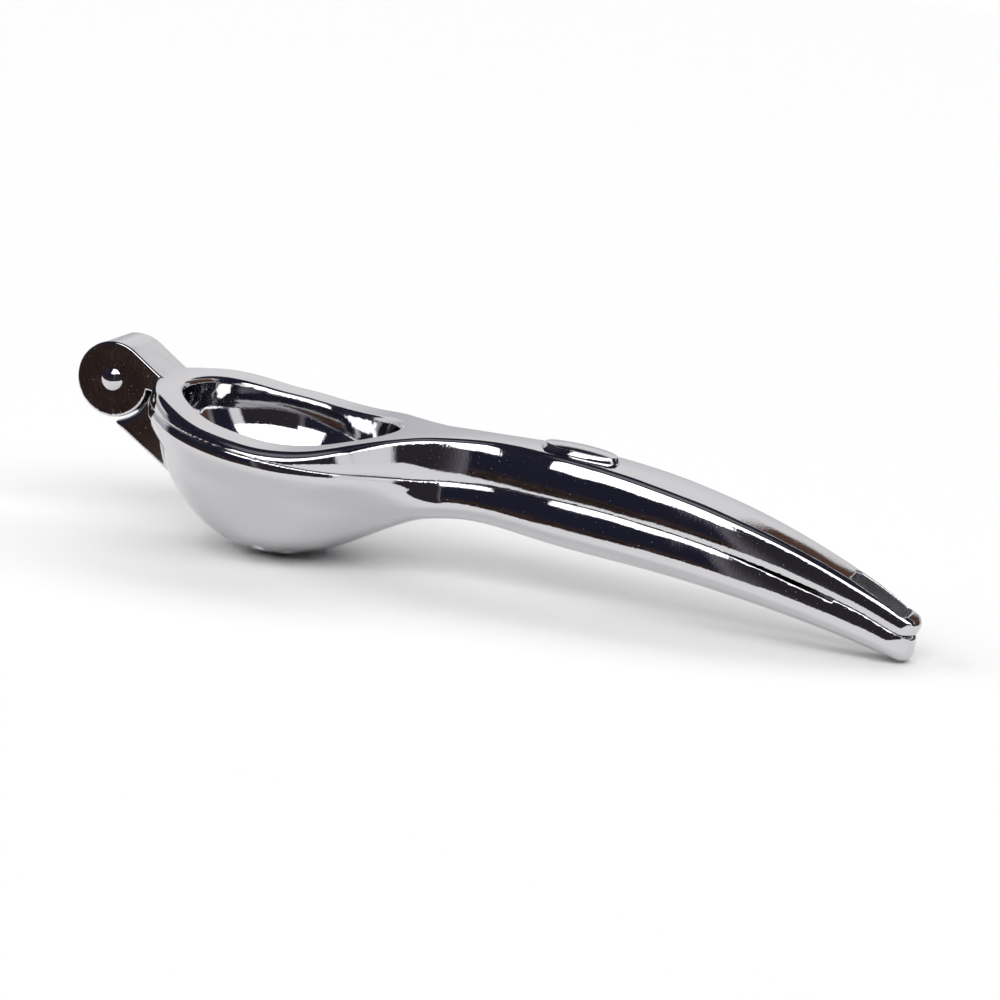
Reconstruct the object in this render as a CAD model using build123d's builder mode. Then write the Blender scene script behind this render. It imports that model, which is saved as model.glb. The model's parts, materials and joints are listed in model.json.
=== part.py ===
import os
from math import asin, atan2, cos, degrees, hypot, pi, radians, sin, sqrt, tan

from build123d import *

# Bowl: a ball whose centre lies in the parting plane, with a wider rim
bowl_radius = 32.0
bowl_wall = 2.6
rim_flare = 3.4
rim_relief = 1.2
rim_relief_angle = 10.0
rim_drop = 2.2
rim_blend_angle = 20.0
drain_radius = 1.9
drain_counts = (6, 12)
drain_ring_shares = (0.24, 0.46)

# Ring and press cup of the upper lever
ring_height = 2.1
ring_wall_radius = 12.0
ring_land = 6.8
mouth_lip = 0.4
press_gap = 1.2
press_wall = 2.3
press_depth_share = 0.8

# Handles in side view: three arches, with their runs measured from the rim
handle_run = 130.3
seam_run = 63.6
seam_rise = 7.0
seam_tip_drop = 8.74
seam_bend_radius = 40.0
top_run = 52.9
top_rise = 16.5
top_tip_drop = 14.66
floor_run = 78.6
floor_depth = 5.6
floor_tip_drop = 3.31
neck_lift = 2.2
neck_lift_run = 18.6
neck_lift_reach = 22.0

# Handles in plan and in section
root_share = 0.68
root_half_share = 0.424
lower_root_share = 0.56
lower_root_half = 13.5
neck_run = 28.6
neck_half = 8.3
grip_run = 62.6
grip_half = 11.1
tip_half = 5.2
tip_round = 8.0
root_shares = (0, 0.4, 0.7)
waist_shares = (0, 0.47)
taper_shares = (0, 0.3, 0.6, 0.82)
wall_lean = 30.0
belly_lean = 24.0
belly_share = 0.55
lean_overrun_share = 0.5
lower_setback = 0.3
neck_fillet = 9.0
bowl_fillet = 12.0
blend_top = 1.2
blend_run = 10.1
crease_radius = 0.6

# Hollow channels in the mating faces of the handles
channel_run = 16.6
tip_land = 24.0
channel_shares = (0, 0.2, 0.4, 0.6, 0.8, 1)
handle_wall = 2.6
upper_channel_wall = 2.0
lower_channel_wall = 4.2

# Hinge at the end away from the handles
hinge_run = 10.6
barrel_radius = 9.7
barrel_width = 15.8
arm_slope = 27.0
arm_blend = 14.0
pin_radius = 2.3
pin_head_radius = 2.8
pin_head_height = 1.1
tongue_radius = 6.2
tongue_width = 5.0
tongue_high_angle = -12.0
tongue_low_angle = -50.0
gusset_low_angle = -59.0
gusset_foot_angle = 207.0

# Oval plate on the upper handle
plate_run = 39.8
plate_length = 20.0
plate_width = 9.6
plate_height = 1.2
plate_seat = 0.4
plate_edge = 0.25

# Hanging slot through both tips
slot_length = 13.0
slot_width = 5.2
slot_margin = 4.6

# Clearances
parting_gap = 0.3
grip_gap = 0.8
tip_gap = 0.15
seat_gap = 0.7
tongue_gap = 0.3
running_gap = 0.05
plate_gap = 0.05
overrun = 2.0

# Radii of the nested bowls, from the outside in
rim_radius = bowl_radius + rim_flare
rim_inner_radius = bowl_radius - bowl_wall + rim_relief
mouth_radius = rim_radius - ring_land
press_radius = bowl_radius - bowl_wall - press_gap
press_depth = press_depth_share * press_radius
cup_radius = press_radius - press_wall
cup_depth = press_depth - press_wall

# Places along the handles, measured from the bowl's centre
handle_root = root_share * rim_radius
root_half = root_half_share * rim_radius
lower_root = lower_root_share * bowl_radius
neck_place = rim_radius + neck_run
grip_place = rim_radius + grip_run
handle_end = rim_radius + handle_run
seam_crest = rim_radius + seam_run
top_crest = rim_radius + top_run
floor_crest = rim_radius + floor_run
neck_lift_place = rim_radius + neck_lift_run
blend_end = rim_radius + blend_run
channel_start = rim_radius + channel_run
plate_place = rim_radius + plate_run
hinge_reach = rim_radius + hinge_run


# Arches of the handles
def arch_radius(run, drop):
    return (run**2 + drop**2) / (2 * drop)


def arch(x, crest, height, radius):
    return height - radius + sqrt(radius**2 - (x - crest) ** 2)


seam_radius = arch_radius(handle_end - seam_crest, seam_tip_drop)
top_radius = arch_radius(handle_end - top_crest, top_tip_drop)
floor_radius = arch_radius(handle_end - floor_crest, floor_tip_drop)
seam_start = seam_crest - sqrt(seam_radius**2 - (seam_radius - seam_rise) ** 2)


def seam_z(x):
    return arch(x, seam_crest, seam_rise, seam_radius) if x > seam_start else 0


def top_z(x):
    return arch(x, top_crest, top_rise, top_radius)


def floor_z(x):
    away = min(1, abs(x - neck_lift_place) / neck_lift_reach)
    lift = neck_lift * cos(away * pi / 2) ** 2
    return arch(x, floor_crest, -floor_depth, floor_radius) + lift


# Half-width of both handles at the seam: flared root, narrow neck, full grip, tapered tip
def flare(x, root, half):
    return neck_half + (half - neck_half) * ((neck_place - x) / (neck_place - root)) ** 2


def half_width(x):
    if x < neck_place:
        return flare(x, handle_root, root_half)
    if x < grip_place:
        swell = (1 - cos(pi * (x - neck_place) / (grip_place - neck_place))) / 2
        return neck_half + (grip_half - neck_half) * swell
    return grip_half - (grip_half - tip_half) * ((x - grip_place) / (handle_end - grip_place)) ** 2


def lower_half_width(x):
    return (half_width(x) if x > neck_place else flare(x, lower_root, lower_root_half)) - lower_setback


# Rest pose: the bowl and the lower tip both touch the table
tip_floor = floor_z(handle_end)
rest_tilt = asin(bowl_radius / hypot(handle_end, tip_floor)) - atan2(-tip_floor, handle_end)
tip_lean = asin((handle_end - seam_crest) / seam_radius)
tip_reach = handle_end + (top_z(handle_end) - seam_z(handle_end)) * sin(tip_lean) - crease_radius / 2
barrel_left = -hinge_reach * cos(rest_tilt) - barrel_radius
tip_right = tip_reach * cos(rest_tilt) + top_z(handle_end) * sin(rest_tilt)
casting = Plane(
    origin=(-(barrel_left + tip_right) / 2, 0, bowl_radius),
    x_dir=(cos(rest_tilt), 0, -sin(rest_tilt)),
    z_dir=(sin(rest_tilt), 0, cos(rest_tilt)),
)
side = Plane(origin=casting.origin, x_dir=casting.x_dir, z_dir=-casting.y_dir)
bowl_axis = Axis(casting.origin, casting.z_dir)


def spot(x, y, z):
    return casting.from_local_coords((x, y, z))


def section(x):
    return Plane(origin=spot(x, 0, 0), x_dir=casting.y_dir, z_dir=casting.x_dir)


def on_circle(centre, radius, angle):
    return (centre[0] + radius * cos(radians(angle)), centre[1] + radius * sin(radians(angle)))


def between(low, high, shares):
    return [low + share * (high - low) for share in shares]


def stations(root):
    flare_places = between(root, neck_place, root_shares)
    waist_places = between(neck_place, grip_place, waist_shares)
    taper_places = between(grip_place, handle_end, taper_shares)
    return [*flare_places, *waist_places, *taper_places, profile_end]


centre = (0, 0)
hinge = (-hinge_reach, 0)
half_slab = rim_radius + overrun
profile_end = handle_end + overrun
channel_end = handle_end - tip_land
channel_stations = between(channel_start, channel_end, channel_shares)

# Tip: its end stands square to the seam and is rounded in plan
tip_plan = Plane(
    origin=spot(handle_end, 0, seam_z(handle_end)),
    x_dir=casting.x_dir * cos(tip_lean) - casting.z_dir * sin(tip_lean),
    z_dir=casting.x_dir * sin(tip_lean) + casting.z_dir * cos(tip_lean),
)


def rounded_tip():
    with BuildSketch(tip_plan) as outline:
        with Locations((-tip_round, 0)):
            Rectangle(2 * handle_end, 2 * half_slab, align=(Align.MAX, Align.CENTER))
            Circle(tip_round)
    return outline.sketch


def hanging_slot():
    with BuildSketch(tip_plan) as outline:
        with Locations((-slot_margin - slot_length / 2, 0)):
            SlotOverall(slot_length, slot_width)
    return outline.sketch


def pin_hole(radius):
    with BuildSketch(side) as outline:
        with Locations(hinge):
            Circle(radius)
    return outline.sketch


# Cross-sections of the two handles
def upper_wall(x):
    radius = (top_z(x) - seam_z(x)) / sin(radians(wall_lean))
    bend = (half_width(x) - radius, seam_z(x))
    over = wall_lean * lean_overrun_share
    low = on_circle(bend, radius, -over)
    middle = on_circle(bend, radius, wall_lean / 2)
    high = on_circle(bend, radius, wall_lean + over)
    with BuildSketch(section(x)) as wall:
        with BuildLine():
            ThreePointArc(low, middle, high)
            Line(high, (-high[0], high[1]))
            ThreePointArc((-high[0], high[1]), (-middle[0], middle[1]), (-low[0], low[1]))
            Line((-low[0], low[1]), low)
        make_face()
    return wall.sketch


def lower_wall(x):
    belly = belly_share * (seam_z(x) - floor_z(x))
    radius = belly / sin(radians(belly_lean))
    widest = lower_half_width(x) + belly * tan(radians(belly_lean / 2))
    bend = (widest - radius, seam_z(x) - belly)
    middle = on_circle(bend, radius, belly_lean / 2)
    high = on_circle(bend, radius, belly_lean * (1 + lean_overrun_share))
    with BuildSketch(section(x)) as wall:
        with BuildLine():
            ThreePointArc((widest, bend[1]), middle, high)
            Line(high, (-high[0], high[1]))
            ThreePointArc((-high[0], high[1]), (-middle[0], middle[1]), (-widest, bend[1]))
            EllipticalCenterArc((0, bend[1]), widest, bend[1] - floor_z(x), start_angle=180, arc_size=180)
        make_face()
    return wall.sketch


def channel(x, low, high, half):
    with BuildSketch(section(x)) as hollow:
        with Locations((0, low)):
            Rectangle(2 * half, high - low, align=(Align.CENTER, Align.MIN))
    return hollow.sketch


def upper_channel(x):
    crease = half_width(x) - (top_z(x) - seam_z(x)) * tan(radians(wall_lean / 2))
    return channel(x, seam_z(x) - overrun, top_z(x) - handle_wall, crease - upper_channel_wall)


def lower_channel(x):
    half = lower_half_width(x) - lower_channel_wall
    return channel(x, floor_z(x) + handle_wall, seam_z(x) + overrun, half)


# Oval that follows the top of the upper handle, between two heights over it
def oval_slab(grow, low, high):
    start = plate_place - plate_length
    end = plate_place + plate_length
    heights = [(top_rise + rise, top_radius + rise) for rise in (low, high)]
    floor, roof = ([(x, arch(x, top_crest, *rise)) for x in (start, plate_place, end)] for rise in heights)
    with BuildPart() as slab:
        with BuildSketch(casting):
            with Locations((plate_place, 0)):
                Ellipse(plate_length / 2 + grow, plate_width / 2 + grow)
        extrude(amount=2 * top_rise)
        with BuildSketch(side):
            with BuildLine():
                ThreePointArc(*floor)
                Line(floor[-1], roof[-1])
                ThreePointArc(*reversed(roof))
                Line(roof[0], floor[0])
            make_face()
        extrude(amount=plate_width, both=True, mode=Mode.INTERSECT)
    return slab.part


# Upper lever: ring, press cup, hinge barrel and upper handle in one casting
arm_start = on_circle(hinge, barrel_radius, 90 - arm_slope)
arm_foot = (arm_start[0] + (arm_start[1] - ring_height) / tan(radians(arm_slope)), ring_height)
dip_reach = arch_radius(top_crest, top_rise - ring_height)
dip_radius = dip_reach - top_radius
dip_share = dip_radius / dip_reach
dip_end = (
    dip_share * top_crest,
    ring_height + dip_radius + dip_share * (top_rise - top_radius - ring_height - dip_radius),
)
seat_radius = barrel_radius + seat_gap


def top_edges(lever):
    steepest = cos(radians(wall_lean))
    roof = lever.faces().filter_by(lambda face: face.normal_at().dot(casting.z_dir) > steepest)
    rims = [edge for face in roof for edge in face.edges()]
    return [edge for edge in rims if rims.count(edge) == 1]


with BuildPart() as upper_casting:
    loft([upper_wall(place) for place in stations(handle_root)])
    ring_bend = (rim_radius - ring_wall_radius, 0)
    ring_low = on_circle(ring_bend, ring_wall_radius, -wall_lean / 2)
    ring_high = on_circle(ring_bend, ring_wall_radius, 2 * wall_lean)
    with BuildSketch(side):
        with BuildLine():
            Line((0, ring_low[1]), ring_low)
            ThreePointArc(ring_low, (rim_radius, 0), ring_high)
            Line(ring_high, (0, ring_high[1]))
            Line((0, ring_high[1]), (0, ring_low[1]))
        make_face()
    revolve(axis=bowl_axis)
    shoulders = [
        upper_casting.edges().sort_by_distance(spot(rim_radius, way * neck_half, ring_height))[0]
        for way in (-1, 1)
    ]
    fillet(shoulders, neck_fillet)
    with BuildSketch(side) as profile:
        with BuildLine():
            Line((-half_slab, 0), (-half_slab, ring_height))
            Line((-half_slab, ring_height), (0, ring_height))
            TangentArc((0, ring_height), dip_end, tangent=(1, 0))
            ThreePointArc(dip_end, (top_crest, top_rise), (profile_end, top_z(profile_end)))
            Line((profile_end, top_z(profile_end)), (profile_end, seam_z(profile_end)))
            ThreePointArc((profile_end, seam_z(profile_end)), (seam_crest, seam_rise), (seam_start, 0))
            Line((seam_start, 0), (-half_slab, 0))
        make_face()
        fillet(profile.vertices().sort_by_distance((seam_start, 0))[0], seam_bend_radius)
    extrude(amount=half_slab, both=True, mode=Mode.INTERSECT)
    extrude(rounded_tip(), amount=handle_end, both=True, mode=Mode.INTERSECT)
    fillet(top_edges(upper_casting), crease_radius)
    with BuildSketch(side) as arm:
        with BuildLine():
            Line(hinge, arm_start)
            Line(arm_start, arm_foot)
            Line(arm_foot, (0, ring_height))
            Line((0, ring_height), centre)
            Line(centre, hinge)
        make_face()
        fillet(arm.vertices().sort_by_distance(arm_foot)[0], arm_blend)
        with Locations(hinge):
            Circle(barrel_radius)
    extrude(amount=barrel_width / 2, both=True)
    with BuildSketch(side):
        with BuildLine():
            Line((0, ring_height), (press_radius, ring_height))
            Line((press_radius, ring_height), (press_radius, 0))
            EllipticalCenterArc(centre, press_radius, press_depth, start_angle=-90, arc_size=90)
            Line((0, -press_depth), (0, ring_height))
        make_face()
    revolve(axis=bowl_axis)
    with BuildSketch(side):
        with BuildLine():
            Line((0, top_rise), (mouth_radius, top_rise))
            Line((mouth_radius, top_rise), (mouth_radius, ring_height - mouth_lip))
            Line((mouth_radius, ring_height - mouth_lip), (cup_radius, 0))
            EllipticalCenterArc(centre, cup_radius, cup_depth, start_angle=-90, arc_size=90)
            Line((0, -cup_depth), (0, top_rise))
        make_face()
    revolve(axis=bowl_axis, mode=Mode.SUBTRACT)
    extrude(pin_hole(pin_radius), amount=barrel_width, both=True, mode=Mode.SUBTRACT)
    with BuildSketch(side):
        with Locations(hinge):
            Circle(tongue_radius + tongue_gap)
            Rectangle(2 * seat_radius, seat_radius, align=(Align.CENTER, Align.MAX))
    extrude(amount=tongue_width / 2 + tongue_gap, both=True, mode=Mode.SUBTRACT)
    loft([upper_channel(place) for place in channel_stations], mode=Mode.SUBTRACT)
    extrude(hanging_slot(), amount=top_rise, both=True, mode=Mode.SUBTRACT)
    add(oval_slab(plate_gap, -plate_seat, overrun), mode=Mode.SUBTRACT)

# Lower lever: bowl with drain holes, hinge gusset with its tongue, and lower handle in one casting
def seam_under(x, gap):
    return (x, seam_z(x) - gap)


seam_middle = (seam_start + channel_end) / 2
middle_gap = (parting_gap + grip_gap) / 2
grip_end = seam_under(channel_end, grip_gap)
land_start = seam_under(channel_end, tip_gap)
land_end = seam_under(profile_end, tip_gap)
rim_bend_radius = rim_drop / sin(radians(belly_lean))
rim_bend = (rim_radius - rim_bend_radius, -rim_drop)
rim_high_angle = degrees(asin((rim_drop + blend_top) / rim_bend_radius))
rim_high = on_circle(rim_bend, rim_bend_radius, rim_high_angle)
rim_middle = on_circle(rim_bend, rim_bend_radius, rim_high_angle / 2)
ball_start = on_circle(centre, bowl_radius, -rim_blend_angle)
ball_way = (-sin(radians(rim_blend_angle)), -cos(radians(rim_blend_angle)))
rim_inner_end = on_circle(centre, bowl_radius - bowl_wall, -rim_relief_angle)
drain_radii = [share * bowl_radius for share in drain_ring_shares]

with BuildPart() as lower_casting:
    loft([lower_wall(place) for place in stations(lower_root)])
    with BuildSketch(side):
        with Locations((0, blend_top)):
            Rectangle(profile_end, half_slab, align=(Align.MIN, Align.MAX))
        with Locations((blend_end, 0)):
            Rectangle(profile_end - blend_end, half_slab, align=(Align.MIN, Align.MIN))
    extrude(amount=half_slab, both=True, mode=Mode.INTERSECT)
    with BuildSketch(side):
        with BuildLine():
            Line((0, blend_top), rim_high)
            ThreePointArc(rim_high, rim_middle, (rim_radius, -rim_drop))
            Spline((rim_radius, -rim_drop), ball_start, tangents=((0, -1), ball_way))
            CenterArc(centre, bowl_radius, -90, 90 - rim_blend_angle)
            Line((0, -bowl_radius), (0, blend_top))
        make_face()
    revolve(axis=bowl_axis)
    creases = lower_casting.edges(Select.NEW)
    fillet([edge for edge in creases if side.to_local_coords(edge @ 0.5).Y < blend_top / 2], bowl_fillet)
    with BuildSketch(side) as profile:
        with BuildLine():
            Line((-half_slab, -parting_gap), (seam_start, -parting_gap))
            ThreePointArc((seam_start, -parting_gap), seam_under(seam_middle, middle_gap), grip_end)
            Line(grip_end, land_start)
            ThreePointArc(land_start, seam_under(handle_end - tip_land / 2, tip_gap), land_end)
            Line(land_end, (profile_end, -half_slab))
            Line((profile_end, -half_slab), (-half_slab, -half_slab))
            Line((-half_slab, -half_slab), (-half_slab, -parting_gap))
        make_face()
        fillet(profile.vertices().sort_by_distance((seam_start, -parting_gap))[0], seam_bend_radius)
    extrude(amount=half_slab, both=True, mode=Mode.INTERSECT)
    extrude(rounded_tip(), amount=handle_end, both=True, mode=Mode.INTERSECT)
    with BuildSketch(side):
        with BuildLine():
            Polyline(
                (-hinge_reach, -parting_gap),
                on_circle(hinge, seat_radius, gusset_low_angle),
                on_circle(centre, bowl_radius - bowl_wall / 2, gusset_foot_angle),
                (-rim_inner_radius, -parting_gap),
                close=True,
            )
        make_face()
        with Locations(hinge):
            Circle(seat_radius, mode=Mode.SUBTRACT)
    extrude(amount=barrel_width / 2, both=True)
    with BuildSketch(side):
        with Locations(hinge):
            Circle(tongue_radius)
        with BuildLine():
            Polyline(
                hinge,
                on_circle(hinge, seat_radius + overrun, tongue_high_angle),
                on_circle(hinge, seat_radius + overrun, tongue_low_angle),
                close=True,
            )
        make_face()
    extrude(amount=tongue_width / 2, both=True)
    with BuildSketch(side):
        with BuildLine():
            Line((0, 0), (rim_inner_radius, 0))
            Line((rim_inner_radius, 0), rim_inner_end)
            CenterArc(centre, bowl_radius - bowl_wall, -90, 90 - rim_relief_angle)
            Line((0, bowl_wall - bowl_radius), (0, 0))
        make_face()
    revolve(axis=bowl_axis, mode=Mode.SUBTRACT)
    extrude(pin_hole(pin_radius + running_gap), amount=barrel_width, both=True, mode=Mode.SUBTRACT)
    loft([lower_channel(place) for place in channel_stations], mode=Mode.SUBTRACT)
    extrude(hanging_slot(), amount=half_slab, both=True, mode=Mode.SUBTRACT)
    with BuildSketch(casting):
        Circle(drain_radius)
        for radius, count in zip(drain_radii, drain_counts):
            with PolarLocations(radius, count, start_angle=180 / count):
                Circle(drain_radius)
    extrude(amount=-half_slab, mode=Mode.SUBTRACT)

# Hinge pin: a rivet with a domed head on each side of the barrel
with BuildPart() as hinge_pin:
    with BuildSketch(Plane(origin=spot(-hinge_reach, 0, 0), x_dir=casting.x_dir, z_dir=casting.z_dir)):
        with BuildLine():
            Line((0, 0), (pin_radius, 0))
            Line((pin_radius, 0), (pin_radius, barrel_width / 2))
            Line((pin_radius, barrel_width / 2), (pin_head_radius, barrel_width / 2))
            head_top = (0, barrel_width / 2 + pin_head_height)
            TangentArc(head_top, (pin_head_radius, barrel_width / 2), tangent=(1, 0))
            Line(head_top, (0, 0))
        make_face()
    revolve(axis=Axis(spot(-hinge_reach, 0, 0), casting.y_dir))
    mirror(about=Plane.XZ)

# Oval plate, curved to the handle and let into a shallow seat
with BuildPart() as oval_plate:
    add(oval_slab(0, -plate_seat, plate_height))
    fillet(oval_plate.faces().sort_by(bowl_axis)[-1].edges(), plate_edge)

os.makedirs("parts", exist_ok=True)
upper_casting.part.label = "upper_casting"
export_step(upper_casting.part, "parts/upper_casting.step")
lower_casting.part.label = "lower_casting"
export_step(lower_casting.part, "parts/lower_casting.step")
hinge_pin.part.label = "hinge_pin"
export_step(hinge_pin.part, "parts/hinge_pin.step")
oval_plate.part.label = "oval_plate"
export_step(oval_plate.part, "parts/oval_plate.step")
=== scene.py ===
import json
from math import asin, atan2, cos, hypot, pi, radians, sin, tan

import bpy
import numpy as np
from mathutils import Matrix, Vector


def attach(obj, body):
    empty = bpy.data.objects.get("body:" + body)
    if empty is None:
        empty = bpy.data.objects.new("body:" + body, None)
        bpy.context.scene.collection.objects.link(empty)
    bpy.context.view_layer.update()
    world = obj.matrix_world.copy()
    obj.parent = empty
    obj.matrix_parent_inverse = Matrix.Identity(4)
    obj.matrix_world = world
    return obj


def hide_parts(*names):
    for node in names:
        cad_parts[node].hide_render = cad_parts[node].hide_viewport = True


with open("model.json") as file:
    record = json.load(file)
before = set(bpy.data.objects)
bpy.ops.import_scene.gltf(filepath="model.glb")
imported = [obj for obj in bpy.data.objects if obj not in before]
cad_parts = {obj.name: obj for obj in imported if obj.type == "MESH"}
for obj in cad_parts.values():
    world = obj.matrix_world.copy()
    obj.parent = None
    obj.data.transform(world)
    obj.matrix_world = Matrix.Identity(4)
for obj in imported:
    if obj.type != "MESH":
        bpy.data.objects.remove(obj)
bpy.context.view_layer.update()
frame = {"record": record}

# Lower lever: bowl, hinge gusset with its tongue, and lower handle in one zinc casting.
# It is ground and polished by hand, then plated with bright nickel and chrome.
# The hinge pin runs through its tongue, and juice leaves by the drilled bowl.
mm = 0.001
tiny = 1e-6
finest = 0.45
edge_round = 0.45
bowl_radius = 32.0
bowl_wall = 2.6
polish_loss = 0.01
ball_start = radians(-20)
hollow_start = radians(-10)
hollow_flare = 0.32
flare_measure = 0.95
rim_radius = 35.39
rim_drop = 2.2
rim_lean = radians(24)
rim_bend = rim_drop / sin(rim_lean)
drain_radius = 1.9
drain_edge = 0.35
drain_rings = ((6, 7.7), (12, 14.7))
handle_start = 18.0
handle_end = 165.9
handle_blend = 12.0
handle_wall = 2.6
belly_share = 0.55
seam_crest = 99.0
seam_rise = 7.0
seam_drop = 8.74
seam_ease = 0.3
seam_round = 0.22
dip_start = 150.0
tip_dip = 2.4
parting_gap = 0.12
slit_gap = 0.9
slit_start = 115.0
slit_run = 20.0
land_start = 145.5
tip_gap = 0.15
tip_round = 7.0
toe_lean = radians(-6)
toe_round = 3.0
under_tip = -8.91
channel_start = 52.0
channel_side = 4.2
slot_place = -12.0
under_slot = (6.5, 2.6, 2.5)
hinge_reach = 46.0
barrel_half = 7.9
seat_radius = 10.4
seat_round = 1.2
seat_end = (-0.97, -0.24)
gusset_heel = (-45.0, -9.6)
gusset_fall = (-0.42, -0.907)
gusset_root = -20.0
gusset_draft = 0.04
gusset_blend = 1.2
tongue_radius = 6.2
tongue_half = 2.5
tongue_top = (0.208, 0.978)
tongue_back = (-0.766, -0.643)
tongue_root = 2.0


def seam_line(x):
    run = handle_end - seam_crest
    radius = (run**2 + seam_drop**2) / (2 * seam_drop)
    rise = seam_rise - radius + np.sqrt(radius**2 - (x - seam_crest) ** 2)
    dip = tip_dip * np.clip((x - dip_start) / (handle_end - dip_start), 0, 1) ** 2
    return (rise + np.sqrt(rise**2 + seam_ease)) / 2 - dip


def flowing(*points):
    places, values = (np.array(row, float) for row in zip(*points))
    step = np.diff(places)
    slope = np.diff(values) / step
    system = np.eye(len(places))
    bend = np.zeros(len(places))
    for i in range(1, len(places) - 1):
        system[i, i - 1 : i + 2] = step[i - 1], 2 * (step[i - 1] + step[i]), step[i]
        bend[i] = 6 * (slope[i] - slope[i - 1])
    bend = np.linalg.solve(system, bend)

    def curve(x):
        x = np.clip(x, places[0], places[-1])
        i = np.clip(np.searchsorted(places, x) - 1, 0, len(step) - 1)
        back, ahead = x - places[i], places[i + 1] - x
        return (
            (bend[i] * ahead**3 + bend[i + 1] * back**3) / (6 * step[i])
            + (values[i] / step[i] - bend[i] * step[i] / 6) * ahead
            + (values[i + 1] / step[i] - bend[i + 1] * step[i] / 6) * back
        )

    return curve


lower_half = flowing(
    (handle_start, 13.2), (30, 11.0), (42, 9.2), (50, 8.4), (56, 8.15), (61, 8.4), (66, 9.0),
    (70, 9.5), (74, 9.85), (78, 10.0), (86, 10.35), (92, 10.6), (98, 10.8), (109, 10.4),
    (120, 9.9), (131, 8.9), (141, 7.9), (152, 6.8), (168, 4.5),
)
under_line = flowing(
    (handle_start, -17.0), (36.3, -12.9), (50.2, -8.6), (64, -7.4), (80, -7.0), (98, -5.9),
    (118, -5.6), (138, -6.3), (152, -7.4), (168, -9.2),
)


def joined(a, b, radius):
    corner = np.hypot(np.maximum(radius - a, 0), np.maximum(radius - b, 0))
    return np.maximum(radius, np.minimum(a, b)) - corner


def trimmed(a, b, radius):
    return -joined(-a, -b, radius)


def oval(across, level, half, depth):
    near = np.hypot(across / half, level / depth) + tiny
    steep = np.hypot(across / half**2, level / depth**2) + tiny
    return near * (near - 1) / steep


tip_run = handle_end - seam_crest
tip_lean = asin(tip_run * 2 * seam_drop / (tip_run**2 + seam_drop**2))
tip_level = seam_rise - seam_drop


def along_tip(x, z, lean):
    return (x - handle_end) * cos(lean) - (z - tip_level) * sin(lean)


def tip_outline(x, y, z, lean):
    return along_tip(x, z, lean) + y**2 / (2 * tip_round)


def hanging_slot(x, y, z, half, wide, corner):
    past_end = np.abs(along_tip(x, z, tip_lean) - slot_place) - half + corner
    past_side = np.abs(y) - wide + corner
    beyond = np.hypot(np.maximum(past_end, 0), np.maximum(past_side, 0))
    return beyond + np.minimum(np.maximum(past_end, past_side), 0) - corner


def bowl_skin(away, z):
    rim = np.hypot(np.maximum(away - (rim_radius - rim_bend), 0), z + rim_drop) - rim_bend
    low, high = bowl_radius * sin(ball_start), -rim_drop
    run = high - low
    share = np.clip((high - z) / run, 0, 1)
    ball_edge = bowl_radius * cos(ball_start)
    end_slope = tan(ball_start) * run
    inward = (3 * share**2 - 2 * share**3) * (ball_edge - rim_radius)
    reach = rim_radius + inward + (share**3 - share**2) * end_slope
    outward = (6 * share**2 - 6 * share) * (rim_radius - ball_edge)
    slope = (outward + (3 * share**2 - 2 * share) * end_slope) / run
    shoulder = (away - reach) / np.sqrt(1 + slope**2)
    ball = np.hypot(away, z) - bowl_radius + polish_loss
    return np.where(z > high, rim, np.where(z > low, shoulder, ball))


def bowl_hollow(away, z):
    inner = bowl_radius - bowl_wall
    level = inner * sin(hollow_start)
    flare = inner * cos(hollow_start) + (z - level) * hollow_flare
    return np.where(z > level, (away - flare) * flare_measure, np.hypot(away, z) - inner)


def drain_holes(x, y):
    away = np.hypot(x, y)
    angle = np.arctan2(y, x)
    holes = away - drain_radius
    for count, ring in drain_rings:
        share = 2 * pi / count
        near = (angle % share) - share / 2
        hole = np.hypot(away * np.cos(near) - ring, away * np.sin(near)) - drain_radius
        holes = np.minimum(holes, hole)
    return holes


def lower_handle(aside, x, z, seam, under):
    belly = belly_share * (seam - under)
    widest = lower_half(x) + belly * tan(rim_lean / 2)
    turn = belly / sin(rim_lean)
    level = z - seam + belly
    flank = np.hypot(aside - widest + turn, level) - turn
    handle = np.where(level > 0, flank, oval(aside, level, widest, seam - belly - under))
    return np.maximum(handle, handle_start - x)


def hinge_gusset(aside, x, z):
    from_hinge = x + hinge_reach
    fall = gusset_fall[0] * (x - gusset_heel[0]) + gusset_fall[1] * (z - gusset_heel[1])
    end = seat_end[0] * from_hinge + seat_end[1] * z
    gusset = np.maximum(np.maximum(z + parting_gap, fall), np.maximum(end, x - gusset_root))
    gusset = trimmed(gusset, aside - barrel_half + gusset_draft * z, edge_round)
    return trimmed(gusset, seat_radius - np.hypot(from_hinge, z), seat_round)


def hinge_tongue(aside, x, z):
    from_hinge = x + hinge_reach
    away = np.hypot(from_hinge, z)
    top = tongue_top[0] * from_hinge + tongue_top[1] * z
    back = tongue_back[0] * from_hinge + tongue_back[1] * z
    root = np.maximum(np.maximum(top, back), away - seat_radius - tongue_root)
    return np.maximum(np.minimum(away - tongue_radius, root), aside - tongue_half)


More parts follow.
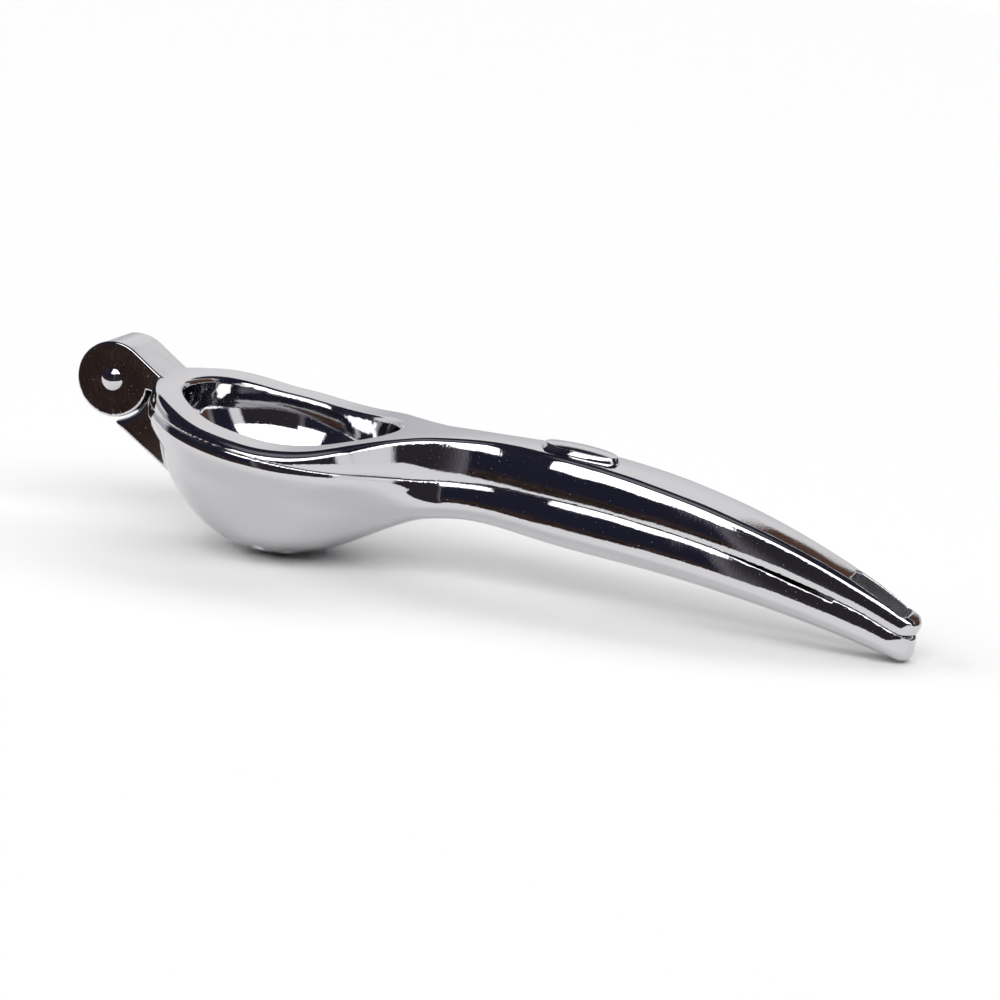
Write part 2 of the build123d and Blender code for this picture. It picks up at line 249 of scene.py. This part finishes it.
def lower_lever(x, y, z):
    aside = np.abs(y)
    away = np.hypot(x, y)
    seam = seam_line(x)
    under = under_line(x)
    body = joined(bowl_skin(away, z), lower_handle(aside, x, z, seam, under), handle_blend)
    slit = parting_gap + (slit_gap - parting_gap) * np.clip((x - slit_start) / slit_run, 0, 1)
    gap = np.where(x > land_start, tip_gap, slit)
    body = trimmed(body, tip_outline(x, y, z, toe_lean), toe_round)
    body = trimmed(body, z - seam + gap, seam_round)
    body = joined(body, hinge_gusset(aside, x, z), gusset_blend)
    body = trimmed(body, -bowl_hollow(away, z), edge_round)
    body = np.minimum(body, hinge_tongue(aside, x, z))
    body = trimmed(body, -drain_holes(x, y), drain_edge)
    channel = np.maximum(aside - lower_half(x) + channel_side, under + handle_wall - z)
    channel = np.maximum(channel, np.maximum(channel_start - x, x - land_start))
    body = np.maximum(body, -channel)
    return trimmed(body, -hanging_slot(x, y, z, *under_slot), edge_round)


hinge_at = Vector(frame["record"]["behaviour"]["joints"][0]["pos_m"])
rest_tilt = asin(bowl_radius / hypot(handle_end, under_tip)) - atan2(-under_tip, handle_end)
casting_axes = Matrix(
    ((cos(rest_tilt), 0, sin(rest_tilt)), (0, 1, 0), (-sin(rest_tilt), 0, cos(rest_tilt)))
)
bowl_at = hinge_at + casting_axes @ Vector((hinge_reach * mm, 0, 0))


def in_place(points):
    return points @ np.array(casting_axes).T * mm + np.array(bowl_at)


def gradient(solid, points, reach):
    slopes = []
    for axis in range(3):
        step = np.zeros(3)
        step[axis] = reach
        slopes.append(solid(*(points + step).T) - solid(*(points - step).T))
    return np.stack(slopes, 1) / (2 * reach)


chrome_colour = (0.615, 0.608, 0.628, 1)
pit_scale = 2600
pit_band = (0.75, 0.79)
pit_dullness = 0.4
smear_scale = 70
smear_detail = 5
smear_band = (0.35, 0.75)
smear_gloss = (0.03, 0.085)
wave_scale = 80
wave_height = 1.5e-4
grain_stretch = (1700, 1100, 1100)
grain_detail = 3
grain_height = 1.0e-5
slot_dullness = 0.22


def bright_chrome(name, dullness=0.0):
    material = bpy.data.materials.new(name)
    material.use_nodes = True
    nodes, links = material.node_tree.nodes, material.node_tree.links
    shader = nodes["Principled BSDF"]
    shader.inputs["Base Color"].default_value = chrome_colour
    shader.inputs["Metallic"].default_value = 1.0
    place = nodes.new("ShaderNodeTexCoord")

    def noise(scale, detail=1, stretch=(1, 1, 1)):
        mapping = nodes.new("ShaderNodeMapping")
        mapping.inputs["Scale"].default_value = stretch
        links.new(place.outputs["Object"], mapping.inputs["Vector"])
        node = nodes.new("ShaderNodeTexNoise")
        node.inputs["Scale"].default_value = scale
        node.inputs["Detail"].default_value = detail
        links.new(mapping.outputs["Vector"], node.inputs["Vector"])
        return node.outputs["Fac"]

    def ranged(value, band, ends):
        node = nodes.new("ShaderNodeMapRange")
        for socket, number in zip(list(node.inputs)[1:5], (*band, *ends)):
            socket.default_value = number
        links.new(value, node.inputs["Value"])
        return node.outputs["Result"]

    def bump(height, distance, under=None):
        node = nodes.new("ShaderNodeBump")
        node.inputs["Strength"].default_value = 1.0
        node.inputs["Distance"].default_value = distance
        links.new(height, node.inputs["Height"])
        if under:
            links.new(under, node.inputs["Normal"])
        return node.outputs["Normal"]

    pits = ranged(noise(pit_scale), pit_band, (dullness, pit_dullness + dullness))
    smears = ranged(noise(smear_scale, smear_detail), smear_band, smear_gloss)
    gloss = nodes.new("ShaderNodeMath")
    gloss.operation = "MAXIMUM"
    links.new(pits, gloss.inputs[0])
    links.new(smears, gloss.inputs[1])
    links.new(gloss.outputs["Value"], shader.inputs["Roughness"])
    waves = bump(noise(wave_scale), wave_height)
    grain = bump(noise(1, grain_detail, grain_stretch), grain_height, waves)
    links.new(grain, shader.inputs["Normal"])
    return material


chrome = bright_chrome("bright_chrome")
dull_chrome = bright_chrome("dull_chrome", slot_dullness)
settle_turns = 4
settle_probe = 0.01
settle_step = 0.4 * finest
least_slope = 0.05
normal_probe = 0.06
slot_skin = 0.2


def settled(solid, points):
    for turn in range(settle_turns):
        slope = gradient(solid, points, settle_probe)
        steepness = np.maximum((slope**2).sum(1, keepdims=True), least_slope)
        move = solid(*points.T)[:, None] * slope / steepness
        length = np.linalg.norm(move, axis=1, keepdims=True)
        points = points - move * np.minimum(1, settle_step / np.maximum(length, tiny))
    return points


def skin(name, solid, slot, low, high):
    axes = [np.arange(a, b + finest, finest) for a, b in zip(low, high)]
    field = solid(*np.ix_(*axes)).astype(np.float32)
    inside = field < 0
    cells = [n - 1 for n in inside.shape]
    corners = np.zeros(cells, np.uint8)
    for i in (0, 1):
        for j in (0, 1):
            for k in (0, 1):
                corners += inside[i : i + cells[0], j : j + cells[1], k : k + cells[2]]
    mixed = (corners > 0) & (corners < 8)
    spots = np.argwhere(mixed)
    label = np.full(cells, -1, np.int64)
    label[mixed] = np.arange(len(spots))
    total = np.zeros((len(spots), 3))
    crossings = np.zeros((len(spots), 1))
    quads = []
    for axis in range(3):
        one, two = (axis + 1) % 3, (axis + 2) % 3
        for b in (0, 1):
            for c in (0, 1):
                start = spots.copy()
                start[:, one] += b
                start[:, two] += c
                end = start.copy()
                end[:, axis] += 1
                f0, f1 = field[tuple(start.T)], field[tuple(end.T)]
                cross = (f0 < 0) != (f1 < 0)
                share = np.where(cross, f0 / np.where(cross, f0 - f1, 1), 0)
                place = start.astype(float)
                place[:, axis] += share
                total += place * cross[:, None]
                crossings += cross[:, None]
        nearer = [slice(None)] * 3
        farther = [slice(None)] * 3
        nearer[axis], farther[axis] = slice(0, -1), slice(1, None)
        begin, finish = inside[tuple(nearer)], inside[tuple(farther)]
        at = np.argwhere(begin != finish)
        leaving = begin[tuple(at.T)]
        ring = []
        for b, c in ((1, 1), (0, 1), (0, 0), (1, 0)):
            cell = at.copy()
            cell[:, one] -= b
            cell[:, two] -= c
            ring.append(label[tuple(cell.T)])
        ring = np.stack(ring, 1)
        quads.append(np.where(leaving[:, None], ring, ring[:, ::-1]))
    quads = np.concatenate(quads)
    points = settled(solid, total / crossings * finest + np.array(low))
    normals = gradient(solid, points, normal_probe)
    normals /= np.maximum(np.linalg.norm(normals, axis=1, keepdims=True), tiny)
    mesh = bpy.data.meshes.new(name)
    mesh.from_pydata(in_place(points).tolist(), [], quads.tolist())
    mesh.shade_smooth()
    mesh.materials.append(chrome)
    mesh.materials.append(dull_chrome)
    in_slot = np.abs(hanging_slot(*points.T, *slot)) < slot_skin
    mesh.polygons.foreach_set("material_index", in_slot[quads].all(1).astype(np.int32))
    mesh.normals_split_custom_set_from_vertices((normals @ np.array(casting_axes).T).tolist())
    piece = bpy.data.objects.new(name, mesh)
    bpy.context.collection.objects.link(piece)
    return piece


lower_box = ((-57.0, -36.6, -33.2), (169.0, 36.6, 8.4))
lower_piece = skin("lower_lever_skin", lower_lever, under_slot, *lower_box)
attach(lower_piece, "lower_lever")
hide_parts("lower_casting")

# Upper lever: ring, press cup, hinge barrel with its arm, and upper handle in one zinc casting.
# It is polished and plated like the lower lever.
# It turns on the pin that is riveted through its barrel.
ring_height = 1.8
ring_wall = 12.0
ring_round = 3.0
crease_round = 1.1
crease_start = 12.0
crease_run = 22.0
barrel_radius = 9.67
barrel_clear = 0.2
arm_slope = radians(27)
arm_blend = 14.0
arm_rise = 1.9
arm_root = -27.5
arm_measure = 0.92
rise_start = -10.0
lip_radius = 27.8
lip_level = 0.4
lip_depth = 1.2
lip_flare = 0.62
lip_measure = 0.85
mouth_oval = 1.17
press_radius = 28.2
press_depth = 22.56
press_wall = 2.3
press_top = 1.0
wall_start = 24.1
wall_lean = radians(30)
wall_lift = 0.3
wall_tuck = 1.5
tuck_end = 80.0
tuck_run = 45.0
neck_fillet = 9.0
top_crest = 88.3
top_rise = 16.5
top_drop = 14.66
top_crown = 150.0
crown_start = 30.0
crown_run = 25.0
channel_wall = 2.0
tongue_clear = 0.3
end_round = 1.5
top_slot = (8.0, 4.6, 1.8)
upper_half = flowing(
    (wall_start, 15.0), (40, 10.6), (48, 8.9), (54, 8.2), (58.5, 8.3), (63, 8.8), (67, 9.5),
    (71, 10.05), (75, 10.25), (84, 10.65), (92, 10.95), (98, 11.1), (109, 10.7), (120, 10.2),
    (131, 9.2), (141, 8.2), (152, 7.1), (168, 4.8),
)


def top_line(x):
    run = handle_end - top_crest
    radius = (run**2 + top_drop**2) / (2 * top_drop)
    climb = top_rise - ring_height
    reach = (top_crest**2 + climb**2) / (2 * climb)
    dip_radius = reach - radius
    dip_end = top_crest * dip_radius / reach
    dip = ring_height + dip_radius - np.sqrt(dip_radius**2 - np.clip(x, 0, dip_end) ** 2)
    crown = top_rise - radius + np.sqrt(radius**2 - (np.maximum(x, dip_end) - top_crest) ** 2)
    return np.where(x < dip_end, dip, crown)


arm_start = barrel_radius * sin(arm_slope) - hinge_reach
foot_level = ring_height + arm_rise
arm_foot = arm_start + (barrel_radius * cos(arm_slope) - foot_level) / tan(arm_slope)
blend_run = arm_blend * tan(arm_slope / 2)


def arm_line(x):
    straight = foot_level + (arm_foot - x) * tan(arm_slope)
    bend = np.clip(arm_foot + blend_run - x, 0, arm_blend * sin(arm_slope))
    curved = foot_level + arm_blend - np.sqrt(arm_blend**2 - bend**2)
    return np.where(x < arm_foot - blend_run * cos(arm_slope), straight, curved)


def eased(share):
    return share**2 * (3 - 2 * share)


def press_hollow(x, y, z, top):
    mouth = np.hypot(x, y * mouth_oval)
    depth = press_depth - press_wall + lip_level
    cup = oval(mouth, z - lip_level, lip_radius, depth) / mouth_oval
    flare = np.maximum(z - top + lip_depth, 0) * lip_flare
    lip = (mouth - lip_radius - flare) * lip_measure / mouth_oval
    return np.where(z < lip_level, cup, lip)


def tongue_slot(aside, x, z):
    from_hinge = x + hinge_reach
    below = np.maximum(np.abs(from_hinge) - seat_radius, z)
    slot = np.minimum(np.hypot(from_hinge, z) - tongue_radius - tongue_clear, below)
    return np.maximum(slot, aside - tongue_half - tongue_clear)


def hinge_barrel(aside, x, z):
    arm = np.maximum((z - arm_line(x)) * arm_measure, -z)
    arm = np.maximum(arm, np.maximum(arm_start - x, x - arm_root))
    barrel = np.hypot(x + hinge_reach, z) - barrel_radius
    return trimmed(np.minimum(arm, barrel), aside - barrel_half, edge_round)


def upper_lever(x, y, z):
    aside = np.abs(y)
    away = np.hypot(x, y)
    seam = seam_line(x)
    lift = np.clip((rise_start - x) / (rise_start - arm_foot - blend_run), 0, 1)
    top = top_line(x) + arm_rise * eased(lift) + arm_line(np.maximum(x, -rim_radius)) - foot_level
    ring = np.hypot(np.maximum(away - rim_radius + ring_wall, 0), z) - ring_wall
    turn = (top - seam) / sin(wall_lean)
    tuck = wall_lift + wall_tuck * np.clip((tuck_end - x) / tuck_run, 0, 1)
    flank = np.hypot(aside - upper_half(x) + turn, z - seam - tuck) - turn
    body = joined(ring, np.maximum(flank, wall_start - x), neck_fillet)
    on_handle = np.clip((x - crown_start) / crown_run, 0, 1)
    crowned = top - y**2 / (2 * top_crown) * eased(on_handle)
    sharp = np.maximum(np.clip((x - crease_start) / crease_run, 0, 1), lift)
    body = trimmed(body, z - crowned, ring_round + (crease_round - ring_round) * sharp)
    body = trimmed(body, seam - z, seam_round)
    body = trimmed(body, tip_outline(x, y, z, tip_lean), end_round)
    body = np.minimum(body, hinge_barrel(aside, x, z))
    past_barrel = x > barrel_radius - hinge_reach + barrel_clear
    body = np.maximum(body, np.where(past_barrel, seam - z, -barrel_radius))
    press = np.maximum(oval(away, z, press_radius, press_depth), z - press_top)
    body = np.minimum(body, press)
    body = trimmed(body, -press_hollow(x, y, z, top), edge_round)
    body = np.maximum(body, -tongue_slot(aside, x, z))
    crease = upper_half(x) - (top - seam) * tan(wall_lean / 2)
    channel = np.maximum(aside - crease + channel_wall, z - top + handle_wall)
    channel = np.maximum(channel, np.maximum(channel_start - x, x - land_start))
    body = np.maximum(body, -channel)
    return trimmed(body, -hanging_slot(x, y, z, *top_slot), edge_round)


upper_box = ((-57.0, -36.6, -23.6), (169.0, 36.6, 17.8))
upper_piece = skin("upper_lever_skin", upper_lever, top_slot, *upper_box)
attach(upper_piece, "upper_lever")
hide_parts("upper_casting")

# Hinge pin: a steel rivet, left bright, that holds the two levers together.
# It goes through the barrel and the tongue, and its ends are headed over
# into low domes on the barrel's faces.
pin_radius = 2.3
head_radius = 2.8
head_height = 1.1
head_rim = 0.2
head_sink = 0.05
dome_steps = 10
around = 64
sharp_turn = radians(40)
angles = np.arange(around) * 2 * pi / around


def ringed(name, rows, material):
    faces = []
    for i in range(len(rows) - 1):
        for j in range(around):
            k = (j + 1) % around
            faces.append((i * around + j, i * around + k, (i + 1) * around + k, (i + 1) * around + j))
    faces.append(tuple(range(around))[::-1])
    faces.append(tuple(range((len(rows) - 1) * around, len(rows) * around)))
    mesh = bpy.data.meshes.new(name)
    mesh.from_pydata(np.concatenate(rows).tolist(), [], faces)
    mesh.shade_smooth()
    mesh.set_sharp_from_angle(angle=sharp_turn)
    mesh.materials.append(material)
    piece = bpy.data.objects.new(name, mesh)
    bpy.context.collection.objects.link(piece)
    return piece


dome_height = head_height - head_rim
dome_radius = (head_radius**2 + dome_height**2) / (2 * dome_height)
dome_turn = asin(head_radius / dome_radius)
half_pin = []
for k in range(1, dome_steps + 1):
    lean = dome_turn * k / dome_steps
    height = dome_radius * (cos(lean) - cos(dome_turn)) + head_rim
    half_pin.append((dome_radius * sin(lean), barrel_half + height))
half_pin += [(head_radius, barrel_half), (pin_radius, barrel_half - head_sink)]
pin_rows = []
for radius, place in half_pin + [(r, -p) for r, p in half_pin[::-1]]:
    circle = np.stack([radius * np.cos(angles), np.full(around, place), radius * np.sin(angles)], 1)
    pin_rows.append(circle * mm + np.array(hinge_at))
pin_piece = ringed("pin_skin", pin_rows, bright_chrome("pin_steel"))
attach(pin_piece, "upper_lever")
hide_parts("hinge_pin")

# Oval plate: a thin blank plate let into the crown of the upper handle.
# It is stamped from sheet with its edge rolled over, polished and plated,
# and pressed into the casting.
plate_place = 75.2
plate_length = 20.2
plate_width = 9.8
plate_height = 1.35
plate_dome = 0.6
plate_sink = 0.4
plate_bevel = 0.65
bevel_step = 0.12
bevel_drop = 0.1
plate_profile = [(1.0, -plate_sink, 0.0), (1.0, 0.0, 0.0)]
plate_profile.append((1.0, plate_height - bevel_drop, plate_bevel))
plate_profile.append((1.0, plate_height, plate_bevel + bevel_step))
for share in (0.92, 0.8, 0.6, 0.4, 0.2, 0.05):
    plate_profile.append((share, plate_height + plate_dome * (1 - share**2), 0.0))
plate_rows = []
for share, height, inset in plate_profile:
    x = plate_place + (plate_length / 2 - inset) * share * np.cos(angles)
    y = (plate_width / 2 - inset) * share * np.sin(angles)
    plate_rows.append(in_place(np.stack([x, y, top_line(x) + height], 1)))
plate_piece = ringed("plate_skin", plate_rows, chrome)
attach(plate_piece, "upper_lever")
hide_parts("oval_plate")

# Table: a white painted board that the squeezer lies on, and that carries its shadow.
# Its front edge lies just in front of the object, so the chrome mirrors the room past it.
table_corners = [(-0.6, 0.08, 0), (0.9, -0.52, 0), (2, 2, 0), (-2, 2, 0)]
table_mesh = bpy.data.meshes.new("table")
table_mesh.from_pydata(table_corners, [], [(0, 1, 2, 3)])
table = bpy.data.objects.new("table", table_mesh)
bpy.context.collection.objects.link(table)
white_board = bpy.data.materials.new("white_board")
white_board.use_nodes = True
board = white_board.node_tree.nodes["Principled BSDF"]
board.inputs["Base Color"].default_value = (0.98, 0.98, 0.98, 1)
board.inputs["Roughness"].default_value = 0.7
board.inputs["Specular IOR Level"].default_value = 0.1
table_mesh.materials.append(white_board)

# Room: what the chrome mirrors is a brown and dark blue studio with a pale wall behind, a softbox
# in two parts above the camera and a tall white card on the right. Matt things are lit by the softbox
# and by lamps on the left, behind and overhead. The camera sees plain white. Angles are in degrees.
softbox_near = (-25, 3, 23, 58)
softbox_wide = (2, 80, 29, 58)
softbox_light = (3.1, 3.1, 3.1)
left_lamp = (-95, -45, 15, 45, 5)
left_light = (2.8, 2.8, 2.8)
behind_lamp = (-181, 181, 33, 67, 5)
behind_light = (1.9, 1.9, 1.9)
overhead_start = (64, 4)
overhead_light = (0.4, 0.4, 0.4)
spare_light = (0.02, 0.02, 0.02)
card = (64, 79, -25, 31, 2)
card_white = (0.95, 0.95, 0.96)
curtain_place = (-2, 64, -12, 27, 1.5)
curtain_fold = (1, 5)
curtain_dark = (0.032, 0.028, 0.032)
curtain_lit = (0.20, 0.19, 0.22)
back_start = (0.3, 0.1)
left_wall = (-181, -90, -91, 91, 4)
wall_shade = (12, 9)
wall_top = (29, 3)
wall_low = (0.55, 0.55, 0.59)
wall_high = (0.92, 0.91, 0.91)
clutter_scale = 26
clutter_detail = 5
clutter_band = (0.5, 0.15)
brown_deep = (0.012, 0.008, 0.008)
brown_pale = (0.07, 0.045, 0.038)
shelf_side = (-0.03, 0.015)
shelf_slope = 0.54
shelf_edge = (0.335, 0.012)
shelf_top = (24.2, 0.6)
shelf_brown = (0.095, 0.052, 0.039)
blue_start = (-1, 4)
night_blue = (0.018, 0.018, 0.034)
ceiling_start = (74, 6)
ceiling_grey = (0.22, 0.22, 0.24)
plain_white = (1, 1, 1)
world = bpy.data.worlds.new("studio")
bpy.context.scene.world = world
world.use_nodes = True
nodes, links = world.node_tree.nodes, world.node_tree.links
direction = nodes.new("ShaderNodeTexCoord")
parts = nodes.new("ShaderNodeSeparateXYZ")
links.new(direction.outputs["Generated"], parts.inputs["Vector"])
to_right, to_back = parts.outputs["X"], parts.outputs["Y"]


def worked(operation, *values):
    node = nodes.new("ShaderNodeMath")
    node.operation = operation
    for socket, value in zip(node.inputs, values):
        if isinstance(value, (int, float)):
            socket.default_value = value
        else:
            links.new(value, socket)
    return node.outputs["Value"]


def overlap(*shares):
    product = shares[0]
    for share in shares[1:]:
        product = worked("MULTIPLY", product, share)
    return product


def above(value, at, soft):
    node = nodes.new("ShaderNodeMapRange")
    node.interpolation_type = "SMOOTHSTEP"
    node.inputs["From Min"].default_value = at - soft
    node.inputs["From Max"].default_value = at + soft
    links.new(value, node.inputs["Value"])
    return node.outputs["Result"]


def below(value, at, soft):
    return worked("SUBTRACT", 1, above(value, at, soft))


def coloured(share, under, over):
    node = nodes.new("ShaderNodeMix")
    node.data_type = "RGBA"
    links.new(share, node.inputs["Factor"])
    for socket, value in zip((node.inputs[6], node.inputs[7]), (under, over)):
        if isinstance(value, tuple):
            socket.default_value = (*value, 1)
        else:
            links.new(value, socket)
    return node.outputs[2]


round_about = worked("ARCTAN2", to_right, worked("MULTIPLY", to_back, -1))
height_angle = worked("ARCSINE", parts.outputs["Z"])


def right_of(at, soft):
    return above(round_about, radians(at), radians(soft))


def left_of(at, soft):
    return below(round_about, radians(at), radians(soft))


def higher(at, soft):
    return above(height_angle, radians(at), radians(soft))


def lower(at, soft):
    return below(height_angle, radians(at), radians(soft))


def panel(left, right, low, high, soft=0.6):
    return overlap(right_of(left, soft), left_of(right, soft), higher(low, soft), lower(high, soft))


clutter = nodes.new("ShaderNodeTexNoise")
clutter.inputs["Scale"].default_value = clutter_scale
clutter.inputs["Detail"].default_value = clutter_detail
links.new(direction.outputs["Generated"], clutter.inputs["Vector"])
brown = coloured(above(clutter.outputs["Fac"], *clutter_band), brown_deep, brown_pale)
room = coloured(higher(*blue_start), brown, night_blue)
room = coloured(higher(*ceiling_start), room, ceiling_grey)
curtain = panel(*curtain_place)
room = coloured(curtain, room, curtain_dark)
room = coloured(overlap(curtain, left_of(*curtain_fold)), room, curtain_lit)
back = above(to_back, *back_start)
wall = coloured(higher(*wall_shade), wall_low, wall_high)
walled = worked("MAXIMUM", back, panel(*left_wall))
room = coloured(overlap(walled, lower(*wall_top)), room, wall)
slant = worked("MULTIPLY_ADD", to_right, shelf_slope, height_angle)
shelf = overlap(back, above(to_right, *shelf_side), above(slant, *shelf_edge), lower(*shelf_top))
room = coloured(shelf, room, shelf_brown)
room = coloured(panel(*card), room, card_white)
light = coloured(panel(*left_lamp), spare_light, left_light)
light = coloured(overlap(back, panel(*behind_lamp)), light, behind_light)
light = coloured(higher(*overhead_start), light, overhead_light)
path = nodes.new("ShaderNodeLightPath")
mirrored = worked("MAXIMUM", path.outputs["Is Glossy Ray"], path.outputs["Is Transmission Ray"])
studio = coloured(mirrored, light, room)
studio = coloured(panel(*softbox_near), studio, softbox_light)
studio = coloured(panel(*softbox_wide), studio, softbox_light)
studio = coloured(path.outputs["Is Camera Ray"], studio, plain_white)
links.new(studio, nodes["Background"].inputs["Color"])

# Camera: a long lens from the front right, a little above the table and slightly rolled.
# Its place was fitted to the outline of the levers in the photograph.
camera = bpy.data.cameras.new("camera")
camera.sensor_width = 36
camera.lens = 115.2
camera_turn = radians(17.67)
camera_dip = radians(13.85)
camera_roll = radians(5.4)
camera_distance = 0.789
camera_target = Vector((bowl_at.x + 0.0573, 0, 0.0225))
ahead = Vector((-sin(camera_turn) * cos(camera_dip), cos(camera_turn) * cos(camera_dip), -sin(camera_dip)))
level_right = Vector((cos(camera_turn), sin(camera_turn), 0))
level_up = level_right.cross(ahead)
right = cos(camera_roll) * level_right + sin(camera_roll) * level_up
up = cos(camera_roll) * level_up - sin(camera_roll) * level_right
eye = bpy.data.objects.new("camera", camera)
bpy.context.collection.objects.link(eye)
eye_axes = Matrix((right, up, -ahead)).transposed().to_4x4()
eye.matrix_world = Matrix.Translation(camera_target - camera_distance * ahead) @ eye_axes
bpy.context.scene.camera = eye
bpy.context.scene.view_settings.view_transform = "Standard"
